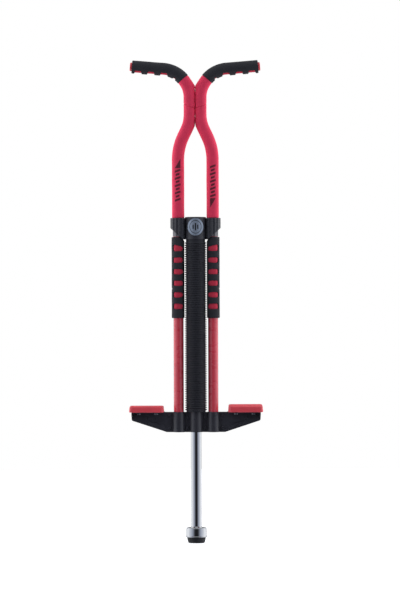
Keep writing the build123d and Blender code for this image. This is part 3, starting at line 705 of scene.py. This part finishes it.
def grip(hand, side):
    """The black outer foam with its finger notches."""
    hidden = GRIP_LINER_R - 0.0004

    def radius_at(s, angle):
        centre, heading = on_tube(s)
        spot = Vector((centre.x, 0.014 * cos(angle) + 7 * side, centre.y + 0.014 * sin(angle)))
        full = GRIP_R + lumps(spot, 0.02, 0.00018) + lumps(spot, 0.006, 0.00006)
        full -= end_rounding(s, grip_start, GRIP_END, GRIP_EDGE)
        return notch_radius(s, angle, full, hidden)

    stations = with_rounded_ends(spread(grip_start + 0.0002, GRIP_END, 0.00045), GRIP_EDGE)
    outer = [ring_at(s, side, radius_at, GRIP_AROUND) for s in stations]
    inner = [
        ring_at(s, side, lambda s, angle: hidden - 0.0003, GRIP_AROUND)
        for s in reversed(spread(grip_start + 0.0002, GRIP_END, 0.003))
    ]
    points, faces = closed_skin(outer + inner, side > 0)
    piece = make_piece(f"{hand}_grip_sleeve", points, faces, "black_foam", sharp=50)
    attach(piece, "frame")
    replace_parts(piece, f"{hand}_grip")


def grip_core(hand, side):
    """The red inner foam that shows in the notches."""
    def radius_at(s, angle):
        centre, _ = on_tube(s)
        spot = Vector((centre.x, 0.011 * cos(angle) + 9 * side, centre.y))
        return GRIP_LINER_R + lumps(spot, 0.006, 0.00012)

    start, end = grip_start + 0.0004, TUBE_LENGTH - 0.0002
    outer = [ring_at(s, side, radius_at, 64) for s in spread(start, end, 0.0015)]
    inner = [
        ring_at(s, side, lambda s, angle: TUBE_R + 0.0001, 64)
        for s in reversed(spread(start, end, 0.006))
    ]
    points, faces = closed_skin(outer + inner, side > 0)
    piece = make_piece(f"{hand}_grip_core", points, faces, "liner_foam")
    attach(piece, "frame")
    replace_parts(piece, f"{hand}_grip_liner")


for hand, side in (("left", -1), ("right", 1)):
    grip(hand, side)
    grip_core(hand, side)


# ======== Knee pads ========

PAD_AROUND = 150
PAD_STEP = 0.00055
WINDOW_FACING = 0.3  # windows are only looked for on the front, where the cosine is over this
FOLD_Z = 0.536
FOLD_HALF_H = 0.0011
FOLD_DEPTH = 0.0010
PAD_STRAIGHT_Z = 0.6285  # above here the rows lean over, to follow the collar's slanted edge


def window_distance(across, up, index, half_w):
    """How far outside a window a place is. Negative is inside. across grows outwards."""
    half_h = WINDOW_H / 2
    if index == 0:
        # The first window's top edge rises outwards.
        lift = 0.0019 * (across / half_w) + 0.0006
        up = (up - lift * (up + half_h) / (2 * half_h))
    corner = 0.0028 if across > 0 else 0.0050
    narrow = 1.0 - 0.10 * max(0.0, -across / half_w)
    qx = abs(across) - half_w + corner
    qy = abs(up) - half_h * narrow + corner
    outside = sqrt(max(qx, 0.0) ** 2 + max(qy, 0.0) ** 2)
    return outside + min(max(qx, qy), 0.0) - corner


def knee_row_top(x):
    """Where the knee pad stops under the collar, at a distance from the stick's axis."""
    return min(KNEE_TOP_Z, COLLAR_SLANT_Z - KNEE_COLLAR_GAP + COLLAR_SLANT * (x - COLLAR_SLANT_X))


def knee_point(side, radius, angle, z):
    """A place on a knee pad or its liner. Angle 0 is the front and 90 degrees the outer side."""
    x = SHAFT_X + radius * sin(angle)
    if z > PAD_STRAIGHT_Z:
        share = (z - PAD_STRAIGHT_Z) / (KNEE_TOP_Z - PAD_STRAIGHT_Z)
        z = PAD_STRAIGHT_Z + share * (knee_row_top(x) - PAD_STRAIGHT_Z)
    return Vector((side * x, -radius * cos(angle), z))


def knee_pad(hand, side, half_w):
    """The black knee pad with its row of windows."""
    hidden = KNEE_LINER_R - 0.0003
    bevel = 0.0006

    def radius_at(angle, z):
        spot = Vector((11 * side + 0.013 * sin(angle), 0.013 * cos(angle), z))
        full = KNEE_PAD_SHIFT * sin(angle)
        full += sqrt(KNEE_PAD_R**2 - (KNEE_PAD_SHIFT * cos(angle)) ** 2)
        full += lumps(spot, 0.028, 0.00028) + lumps(spot, 0.007, 0.00010)
        full -= end_rounding(z, KNEE_BOTTOM_Z, KNEE_TOP_Z, 0.0016)
        # A pinched fold part of the way up the outer side.
        fold = exp(-(((z - FOLD_Z) / FOLD_HALF_H) ** 2)) * max(0.0, sin(angle)) ** 3
        full -= FOLD_DEPTH * fold
        if cos(angle) > WINDOW_FACING:
            across = KNEE_PAD_R * sin(angle)
            for index in range(WINDOW_COUNT):
                up = z - (WINDOW_TOP_Z - index * WINDOW_PITCH)
                if abs(up) < 0.010:
                    gap = window_distance(across, up, index, half_w)
                    if gap < -bevel * 0.35:
                        return hidden
                    if gap < bevel:
                        share = 1 - (gap + bevel * 0.35) / (bevel * 1.35)
                        return full - 0.0007 * share**2
        return full

    rows = with_rounded_ends(spread(KNEE_BOTTOM_Z, KNEE_TOP_Z, PAD_STEP), 0.0016)
    angles = [2 * pi * k / PAD_AROUND for k in range(PAD_AROUND)]
    outer = [[knee_point(side, radius_at(a, z), a, z) for a in angles] for z in rows]
    inner = [
        [knee_point(side, hidden - 0.0003, a, z) for a in angles]
        for z in reversed(spread(KNEE_BOTTOM_Z, KNEE_TOP_Z, 0.01))
    ]
    points, faces = closed_skin(outer + inner, side > 0)
    piece = make_piece(f"{hand}_knee_sleeve", points, faces, "black_foam", sharp=55)
    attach(piece, "frame")
    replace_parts(piece, f"{hand}_knee_pad")


def knee_core(hand, side, half_w):
    """The red inner foam, swelling a little into each window."""
    def radius_at(angle, z):
        spot = Vector((13 * side + 0.013 * sin(angle), 0.013 * cos(angle), z))
        swell = lumps(spot, 0.006, 0.00012)
        if cos(angle) > WINDOW_FACING:
            across = KNEE_PAD_R * sin(angle)
            for index in range(WINDOW_COUNT):
                up = z - (WINDOW_TOP_Z - index * WINDOW_PITCH)
                if abs(up) < 0.010:
                    gap = window_distance(across, up, index, half_w)
                    swell += 0.0011 * min(1.0, max(0.0, -gap / 0.0035)) ** 0.7
        return KNEE_LINER_R + swell

    low, high = KNEE_BOTTOM_Z + 0.0006, KNEE_TOP_Z - 0.0006
    angles = [2 * pi * k / 110 for k in range(110)]
    rows = spread(low, high, 0.0009)
    outer = [[knee_point(side, radius_at(a, z), a, z) for a in angles] for z in rows]
    inner = [
        [knee_point(side, TUBE_R + 0.0001, a, z) for a in angles]
        for z in reversed(spread(low, high, 0.01))
    ]
    points, faces = closed_skin(outer + inner, side > 0)
    piece = make_piece(f"{hand}_knee_core", points, faces, "liner_foam")
    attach(piece, "frame")
    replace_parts(piece, f"{hand}_knee_liner")


for hand, side, half_w in (("left", -1, 0.0108), ("right", 1, 0.0114)):
    knee_pad(hand, side, half_w)
    knee_core(hand, side, half_w)


# ======== Foot pads ========

FOOT_START_X = 0.0678
FOOT_END_X = 0.1410
FOOT_HALF_Y = 0.0310
FOOT_LOW_Z = 0.2760
FOOT_T = 0.0122
FOOT_CORNER = 0.007
FOOT_AROUND = 240
TREAD_PITCH = 0.0086
TREAD_HALF_W = 0.0020
TREAD_DEPTH = 0.0011


def foot_outline(inset):
    """A rounded rectangle about the origin, set in from the pad's edge."""
    half_x, half_y = (FOOT_END_X - FOOT_START_X) / 2 - inset, FOOT_HALF_Y - inset
    corner = max(0.0004, FOOT_CORNER - inset)
    points = []
    for k in range(FOOT_AROUND):
        angle = 2 * pi * (k + 0.5) / FOOT_AROUND
        reach = max(abs(cos(angle)) / half_x, abs(sin(angle)) / half_y)
        x, y = cos(angle) / reach, sin(angle) / reach
        over_x, over_y = abs(x) - half_x + corner, abs(y) - half_y + corner
        if over_x > 0 and over_y > 0:
            shrink = corner / max(corner, sqrt(over_x**2 + over_y**2))
            x = (half_x - corner + over_x * shrink) * (1 if x > 0 else -1)
            y = (half_y - corner + over_y * shrink) * (1 if y > 0 else -1)
        points.append((x, y))
    return points


def tread(x, y):
    """How deep the tread is cut at a place on the pad's top."""
    if abs(x) > (FOOT_END_X - FOOT_START_X) / 2 - 0.006:
        return 0.0
    row = y / TREAD_PITCH + 0.5
    off = abs(row - round(row)) * TREAD_PITCH
    if abs(y) > 3 * TREAD_PITCH or off > TREAD_HALF_W:
        return 0.0
    return TREAD_DEPTH * min(1.0, (TREAD_HALF_W - off) / 0.0007)


def foot_pad(hand, side, rear_lift):
    """The moulded pad, with rounded edges and a grooved tread, a little higher at the rear."""
    levels = [  # inset from the edge, and share of the height
        (0.0040, 0.0), (0.0012, 0.0), (0.0004, 0.05), (0.0, 0.14), (0.0003, 0.40),
        (0.0007, 0.66), (0.0008, 0.84), (0.0014, 0.93), (0.0024, 0.985), (0.0036, 1.0),
    ]
    levels += [(0.0036 + 0.0007 * step, 1.0) for step in range(1, 39)]
    rings = []
    for inset, share in levels:
        ring = []
        for x, y in foot_outline(inset):
            z = FOOT_LOW_Z + FOOT_T * share + rear_lift * share * (0.5 + y / (2 * FOOT_HALF_Y))
            if share == 1.0:
                z -= tread(x, y)
            middle = (FOOT_START_X + FOOT_END_X) / 2
            ring.append(Vector((side * (middle + x), y, z)))
        rings.append(ring)
    points = [p for ring in rings for p in ring]
    faces = []
    for i in range(len(rings) - 1):
        for k in range(FOOT_AROUND):
            n = (k + 1) % FOOT_AROUND
            a, b = i * FOOT_AROUND, (i + 1) * FOOT_AROUND
            face = (a + k, a + n, b + n, b + k)
            faces.append(face if side > 0 else face[::-1])
    first, last = tuple(range(FOOT_AROUND)), tuple(range(len(points) - FOOT_AROUND, len(points)))
    faces.append(first[::-1] if side > 0 else first)
    faces.append(last if side > 0 else last[::-1])
    piece = make_piece(f"{hand}_foot_rest", points, faces, "red_plastic", sharp=35)
    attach(piece, "frame")
    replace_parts(piece, f"{hand}_foot_pad")


foot_pad("left", -1, 0.0003)
foot_pad("right", 1, 0.0030)


# ======== Main spring ========


def main_spring():
    """The coil, built at a single length between its low and top heights."""
    steps, around = SPRING_TURNS * 28, 12
    length = SPRING_TOP_Z - SPRING_LOW_Z
    climb = length / (2 * pi * SPRING_TURNS)
    slope = atan2(climb, SPRING_R)
    points, faces = [], []
    for i in range(steps + 1):
        angle = 2 * pi * SPRING_TURNS * i / steps
        centre_z = SPRING_LOW_Z + length * i / steps
        for k in range(around):
            bearing = 2 * pi * k / around
            out = SPRING_R + SPRING_WIRE_R * cos(bearing)
            lift = SPRING_WIRE_R * sin(bearing)
            lean = -lift * sin(slope)
            # The end coils are ground flat.
            z = min(SPRING_TOP_Z, max(SPRING_LOW_Z, centre_z + lift * cos(slope)))
            points.append(Vector((
                out * cos(angle) - lean * sin(angle), out * sin(angle) + lean * cos(angle), z,
            )))
    for i in range(steps):
        for k in range(around):
            n = (k + 1) % around
            a, b = i * around, (i + 1) * around
            faces.append((a + k, b + k, b + n, a + n))
    faces.append(tuple(range(around)))
    faces.append(tuple(steps * around + k for k in reversed(range(around))))
    piece = make_piece("coil_spring", points, faces, "steel")
    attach(piece, "frame")
    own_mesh(piece)
    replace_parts(piece, "main_spring")


main_spring()


# ======== Finishes on the CAD pieces ========

for node, piece in frame["nodes"].items():
    if not piece.hide_render:
        piece.data.materials.clear()
        look = slot_of_node[node]
        if look == "black_plastic":
            look = "cover_plastic" if node == "spring_cover" else "collar_plastic"
        piece.data.materials.append(finishes[look])
        if node.startswith(("bracket_front", "bracket_rear", "collar_front", "collar_rear")):
            # Slightly softened edges catch the light.
            edge = piece.modifiers.new("soft_edges", "BEVEL")
            edge.width, edge.segments = 0.0008, 2
            edge.limit_method, edge.angle_limit = "ANGLE", radians(40)


# ======== Floor, light and camera ========


def studio_floor():
    """A round pale floor that meets the backdrop without an edge."""
    around, radius = 96, 2.6
    angles = [2 * pi * k / around for k in range(around)]
    points = [Vector((radius * cos(a), radius * sin(a), 0.0)) for a in angles]
    mesh = bpy.data.meshes.new("floor")
    mesh.from_pydata(points, [], [tuple(range(around))])
    floor_piece = bpy.data.objects.new("floor", mesh)
    bpy.context.scene.collection.objects.link(floor_piece)
    f = Finish("studio_floor")
    f.set(
        Base_Color=f.ramp(f.noise(3, 2), (0.3, 0.90), (0.7, 0.92)),
        Roughness=0.9,
        Specular_IOR_Level=0.1,
        Emission_Color=(1.0, 1.0, 1.0, 1.0),
        Emission_Strength=0.35,
    )
    mesh.materials.append(f.material)
    # It casts no light of its own on the object and is not mirrored in the chrome.
    floor_piece.visible_diffuse = False
    floor_piece.visible_glossy = False


ROOM_SOFT_LIGHT = 3.3
ROOM_MIRRORED = 1.2


def studio_world():
    """A white room, brightest beside and behind the object and dark straight ahead and astern."""
    world = bpy.data.worlds.new("studio")
    bpy.context.scene.world = world
    world.use_nodes = True
    tree = world.node_tree
    tree.nodes.clear()

    def add(kind, **settings):
        node = tree.nodes.new(kind)
        for key, value in settings.items():
            setattr(node, key, value)
        return node

    def calc(operation, a, b=0.0):
        node = add("ShaderNodeMath", operation=operation)
        for socket, value in zip(node.inputs, (a, b)):
            if isinstance(value, bpy.types.NodeSocket):
                tree.links.new(value, socket)
            else:
                socket.default_value = value
        return node.outputs[0]

    direction = add("ShaderNodeTexCoord").outputs["Generated"]
    split = add("ShaderNodeSeparateXYZ")
    tree.links.new(direction, split.inputs[0])
    x, y, z = split.outputs
    # The bearing from the front, 0 to 1 at the back.
    level = calc("SQRT", calc("ADD", calc("POWER", x, 2.0), calc("POWER", y, 2.0)))
    forward = calc("DIVIDE", calc("MULTIPLY", y, -1.0), calc("MAXIMUM", level, 0.0001))
    bearing = calc("DIVIDE", calc("ARCCOSINE", forward), pi)
    walls = add("ShaderNodeValToRGB")
    tree.links.new(bearing, walls.inputs["Fac"])
    stops = (
        (0.0, (0.010, 0.010, 0.012)), (0.075, (0.016, 0.016, 0.018)), (0.125, (0.040, 0.041, 0.046)),
        (0.165, (0.13, 0.14, 0.17)), (0.26, (0.29, 0.31, 0.37)), (0.33, (0.40, 0.42, 0.48)),
        (0.405, (0.50, 0.52, 0.57)), (0.487, (0.62, 0.63, 0.66)), (0.58, (0.77, 0.78, 0.80)),
        (0.70, (0.86, 0.87, 0.88)), (0.80, (0.56, 0.57, 0.59)), (0.90, (0.14, 0.14, 0.15)),
    )
    elements = walls.color_ramp.elements
    while len(elements) < len(stops):
        elements.new(0.5)
    for element, (place, colour) in zip(elements, stops):
        element.position = place
        element.color = (*colour, 1.0)
    # The ceiling is an even soft white.
    upward = add("ShaderNodeMapRange", interpolation_type="SMOOTHSTEP")
    tree.links.new(z, upward.inputs["Value"])
    upward.inputs["From Min"].default_value = 0.55
    upward.inputs["From Max"].default_value = 0.95
    room = add("ShaderNodeMix", data_type="RGBA")
    tree.links.new(upward.outputs["Result"], room.inputs["Factor"])
    sockets = [s for s in room.inputs if s.type == "RGBA"]
    tree.links.new(walls.outputs["Color"], sockets[0])
    sockets[1].default_value = (0.28, 0.29, 0.30, 1.0)
    lit = add("ShaderNodeBackground")
    tree.links.new(next(s for s in room.outputs if s.type == "RGBA"), lit.inputs["Color"])
    # The room is stronger as soft light than it is when mirrored.
    seen_by = add("ShaderNodeLightPath").outputs
    mirrored = calc("MULTIPLY", seen_by["Is Glossy Ray"], ROOM_SOFT_LIGHT - ROOM_MIRRORED)
    tree.links.new(calc("SUBTRACT", ROOM_SOFT_LIGHT, mirrored), lit.inputs["Strength"])
    backdrop = add("ShaderNodeBackground")
    backdrop.inputs["Color"].default_value = (1.0, 1.0, 1.0, 1.0)
    backdrop.inputs["Strength"].default_value = 1.0
    either = add("ShaderNodeMixShader")
    tree.links.new(seen_by["Is Camera Ray"], either.inputs[0])
    tree.links.new(lit.outputs[0], either.inputs[1])
    tree.links.new(backdrop.outputs[0], either.inputs[2])
    tree.links.new(either.outputs[0], add("ShaderNodeOutputWorld").inputs["Surface"])


def studio_camera():
    data = bpy.data.cameras.new("camera")
    data.lens = 170.6
    camera = bpy.data.objects.new("camera", data)
    camera.location = (0.0090, -6.0, 0.512)
    camera.rotation_euler = (pi / 2, 0.0034, 0)
    bpy.context.scene.collection.objects.link(camera)
    bpy.context.scene.camera = camera


studio_floor()
studio_world()
studio_camera()
bpy.context.scene.view_settings.view_transform = "Standard"
